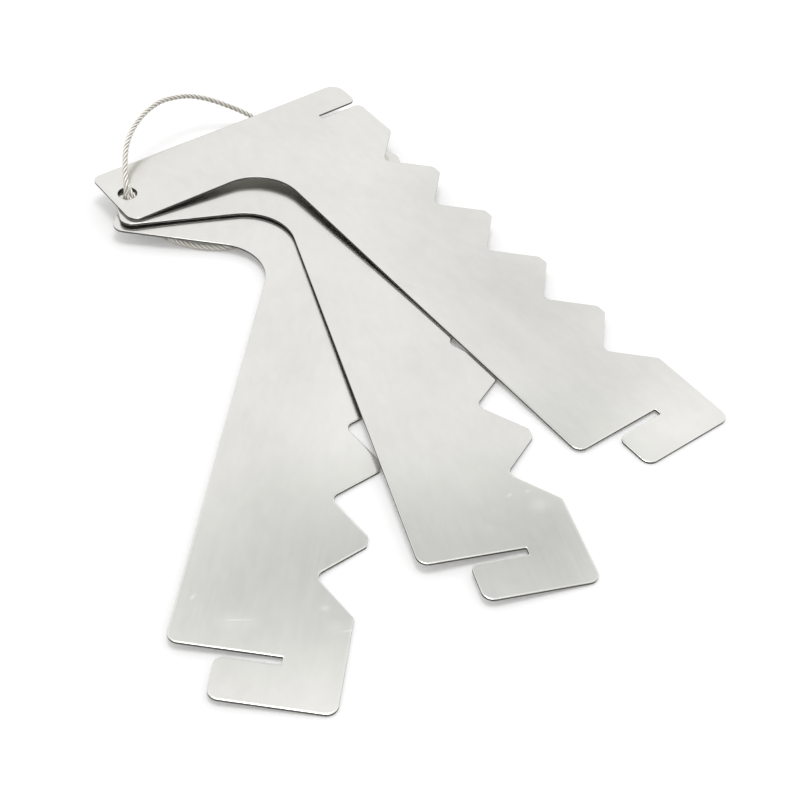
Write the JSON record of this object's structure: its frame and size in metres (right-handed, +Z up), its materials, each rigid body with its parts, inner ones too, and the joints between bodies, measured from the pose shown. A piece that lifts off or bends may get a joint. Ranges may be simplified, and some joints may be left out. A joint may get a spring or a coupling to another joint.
{
  "type": "notched plate gauge set",
  "caption": "Flat stainless gauge plates with right-angle notches, slots and a hooked foot, fanned out on a wire rope ring.",
  "frame": {"origin": "on the bench, under the middle of the plates as they lie fanned out", "axes": "+X to the right, +Y away from the hooked feet towards the ring, +Z up"},
  "size_m": [0.2514, 0.3286, 0.0282],
  "materials": {
    "plate": "satin stainless sheet",
    "rope": "twisted stainless wire strands",
    "sleeve": "plain pressed"
  },
  "bodies": {
    "ring_and_bottom_plate": {"plate_bottom": "plate", "wire_rope": "rope", "crimp_sleeve": "sleeve"},
    "middle_plate": {"plate_middle": "plate"},
    "top_plate": {"plate_top": "plate"}
  },
  "joints": [
    {"name": "middle_plate_fan", "type": "hinge", "parent": "ring_and_bottom_plate", "child": "middle_plate", "pos_m": [-0.10835, 0.07893, 0.00884], "axis": [0.02, 0.02, 0.9996], "range_deg": [-22.9, 4]},
    {"name": "top_plate_fan", "type": "hinge", "parent": "middle_plate", "child": "top_plate", "pos_m": [-0.11076, 0.07976, 0.01101], "axis": [0.1766, -0.0785, 0.9811], "range_deg": [-21.4, 4]}
  ]
}
